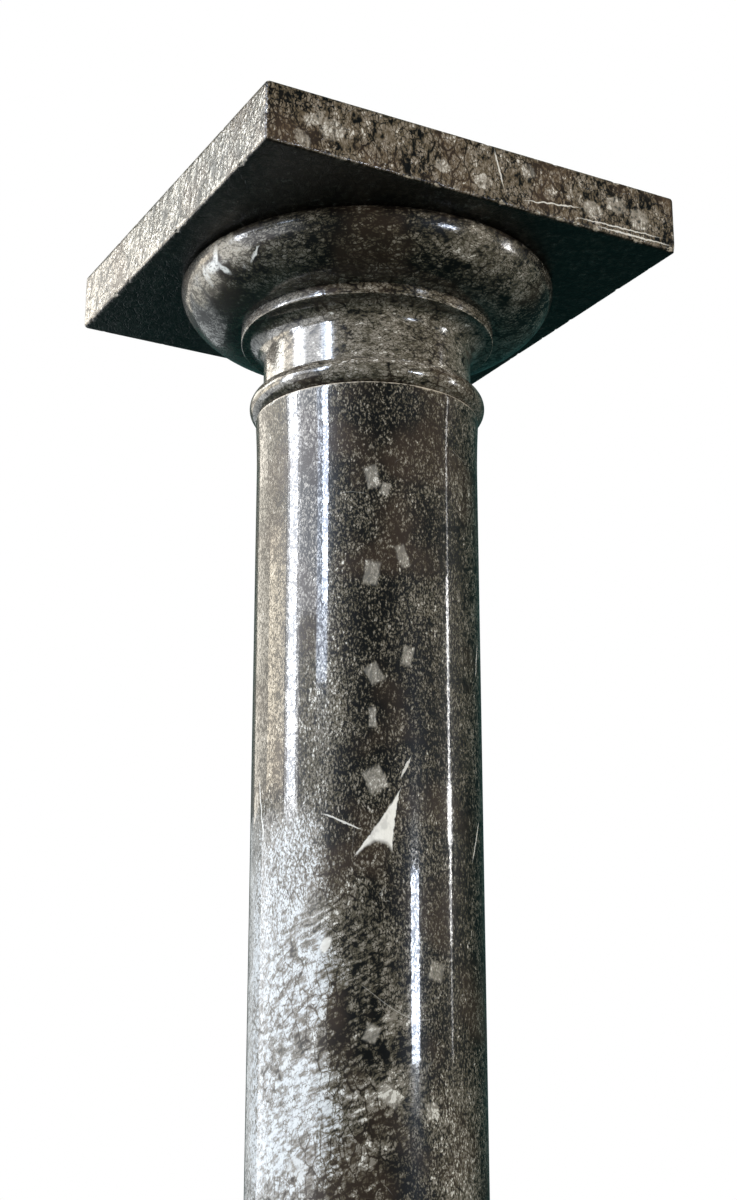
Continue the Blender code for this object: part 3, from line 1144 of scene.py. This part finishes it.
def world_light():
    """White where the camera looks past the column, and a dim studio for the light on the stone."""
    world = bpy.data.worlds.new("pale_studio")
    bpy.context.scene.world = world
    world.use_nodes = True
    tree = world.node_tree
    tree.nodes.clear()
    seen = add(tree, "LightPath", {}, {})["Is Camera Ray"]
    white = add(tree, "Background", {}, {"Color": linear("#ffffff"), "Strength": 1.0})[0]
    dim = add(tree, "Background", {}, {"Color": linear("#44827f"), "Strength": ROOM_LIGHT})[0]
    both = add(tree, "MixShader", {}, (seen, dim, white))[0]
    add(tree, "OutputWorld", {}, {"Surface": both})


def floor_finish(colours):
    """Pale matt paint, rolled on: a faint stipple of the roller's nap, and nothing that shines."""
    material = bpy.data.materials.new("pale_matt_paint")
    material.use_nodes = True
    tree = material.node_tree
    tree.nodes.clear()
    where = add(tree, "TexCoord", {}, {})["Object"]
    stipple = add(tree, "TexNoise", {}, {"Vector": where, "Scale": per(STIPPLE_SIZE), "Detail": 2.0})[0]
    shade = add(tree, "MapRange", SMOOTH, (stipple, 0.3, 0.7, 0.0, 0.04))[0]
    tone = laid_over(tree, colours.floor, [(linear("#d8d6d0"), shade)])
    shader = add(tree, "BsdfPrincipled", {},
                 {"Base Color": tone, "Roughness": 0.9, "Emission Color": tone,
                  "Emission Strength": FLOOR_GLOW})[0]
    add(tree, "OutputMaterial", {}, {"Surface": shader})
    return material


class COLUMN_OT_stage(bpy.types.Operator):
    """Adds the floor, the soft lights and the camera"""

    bl_idname = "column.stage"
    bl_label = "Stage"

    def execute(self, context):
        scene = context.scene
        scene.view_settings.view_transform = "Standard"
        form = bmesh.new()
        bmesh.ops.create_grid(form, x_segments=4, y_segments=4, size=FLOOR_HALF)
        mesh = bpy.data.meshes.new("studio_floor")
        form.to_mesh(mesh)
        form.free()
        floor = bpy.data.objects.new("studio_floor", mesh)
        scene.collection.objects.link(floor)
        mesh.materials.append(floor_finish(scene.column_colours))
        floor.visible_glossy = False
        floor.visible_diffuse = False
        world_light()
        lights()
        camera(scene)
        return {"FINISHED"}


# The studio's soft lights: turn to the right of the camera's side in degrees, distance from the axis
# and height above the top slab's underside in metres, width and height, radiance and tint.
LIGHTS = (
    ("left_window", -118, 2.0, 0.5, 2.2, 1.0, 2.0, "#fff5e6"),
    ("slab_window", -113, 2.0, 0.98, 0.75, 0.52, 5.8, "#f8faf6"),
    ("corner_window", -134, 2.0, 0.8, 0.75, 0.44, 1.1, "#fff8ec"),
    ("cream_panel", -102, 1.9, 0.22, 0.9, 0.44, 3.6, "#fff0d6"),
    ("sheer_panel", -60, 2.0, 0.76, 0.8, 0.9, 5.6, "#f2f6ff"),
    ("high_window", -97, 1.8, 1.0, 0.9, 0.6, 5.4, "#fff4e4"),
    ("left_glow", -79, 2.05, 0.55, 0.6, 1.14, 9.0, "#f3f5fa"),
    ("left_strip", -79, 2.0, 0.55, 0.36, 1.1, 26.0, "#eef4ff"),
    ("middle_glow", -45, 2.05, 0.65, 0.4, 0.9, 9.0, "#d6e6ff"),
    ("middle_strip", -42, 2.0, 0.72, 0.2, 0.78, 44.0, "#dfebff"),
    ("right_strip", 87, 2.0, 0.07, 0.1, 0.62, 20.0, "#ffffff"),
    ("right_spot", 87, 1.9, -0.05, 0.2, 0.09, 24.0, "#ffffff"),
    ("right_end", 87, 2.0, -0.33, 0.06, 0.18, 6.0, "#ffffff"),
    ("right_tail", 88, 2.0, 0.62, 0.05, 0.5, 8.0, "#ffffff"),
    ("low_strip", 46, 2.0, -0.28, 0.28, 0.3, 42.0, "#e2edff"),
    ("low_window", -66, 2.0, -0.5, 1.38, 0.96, 3.0, "#f6f7fa"),
    ("low_window", -104, 2.0, -0.5, 1.38, 0.96, 2.9, "#f6f7fa"),
    ("low_window", -142, 2.0, -0.5, 1.38, 0.96, 0.9, "#f6f7fa"),
    ("low_edge", -42, 2.0, -0.5, 0.36, 0.96, 1.3, "#f6f7fa"),
    ("front_fill", 32, 2.4, 0.25, 1.4, 1.2, 9.5, "#fff3e2"),
)
# These show in the polish and light nothing else, and the fill lights the stone and doesn't show.
MIRRORED_ONLY = ("low_window", "low_edge")
UNMIRRORED = ("front_fill",)


def lights():
    """The studio's soft lights: windows on the left, narrow strips for the polish, and a fill."""
    under = TOP_BOX[0].z
    for name, turn, distance, above, width, tall, radiance, tint in LIGHTS:
        light = soft_light(name, turn, distance, under + above, width, tall, radiance, tint)
        light.visible_diffuse = name not in MIRRORED_ONLY
        light.visible_glossy = name not in UNMIRRORED


def camera(scene):
    """The camera at the photograph's place, looking up at the capital."""
    side = TOP_BOX[1].x - TOP_BOX[0].x
    data = bpy.data.cameras.new("camera")
    data.sensor_width = SENSOR
    data.lens = FOCAL_PIXELS / PHOTO_HEIGHT * SENSOR
    data.clip_start = NEAREST_SEEN
    eye = bpy.data.objects.new("camera", data)
    scene.collection.objects.link(eye)
    eye.location = beside_camera(0.0, CAMERA_AWAY * side, TOP_BOX[0].z - CAMERA_BELOW * side)
    eye.rotation_euler = (math.pi / 2 + CAMERA_PITCH, 0.0, CAMERA_TURN - CAMERA_YAW)
    scene.camera = eye


class COLUMN_PT_panel(bpy.types.Panel):
    """Lists the column's stones, its sizes and its colours"""

    bl_idname = "COLUMN_PT_panel"
    bl_label = "Marble column"
    bl_space_type = "VIEW_3D"
    bl_region_type = "UI"
    bl_category = "Column"

    def draw(self, context):
        for operator in OPERATORS:
            self.layout.operator(operator.bl_idname)
        for group in (context.scene.column_sizes, context.scene.column_colours):
            for name in group.__annotations__:
                self.layout.prop(group, name)


OPERATORS = (COLUMN_OT_plinth, COLUMN_OT_base, COLUMN_OT_shaft, COLUMN_OT_capital,
             COLUMN_OT_top_slab, COLUMN_OT_stage)
CLASSES = (ColumnSizes, ColumnColours, *OPERATORS, COLUMN_PT_panel)


def register():
    """Makes the operators, the settings and the panel known to Blender."""
    for item in CLASSES:
        bpy.utils.register_class(item)
    bpy.types.Scene.column_sizes = bpy.props.PointerProperty(type=ColumnSizes)
    bpy.types.Scene.column_colours = bpy.props.PointerProperty(type=ColumnColours)


def unregister():
    """Takes them out again."""
    del bpy.types.Scene.column_sizes
    del bpy.types.Scene.column_colours
    for item in reversed(CLASSES):
        bpy.utils.unregister_class(item)


def main():
    """Builds the column stone by stone, then the stage."""
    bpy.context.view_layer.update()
    register()
    bpy.ops.column.plinth()
    bpy.ops.column.base()
    bpy.ops.column.shaft()
    bpy.ops.column.capital()
    bpy.ops.column.top_slab()
    bpy.ops.column.stage()


if __name__ == "__main__":
    main()
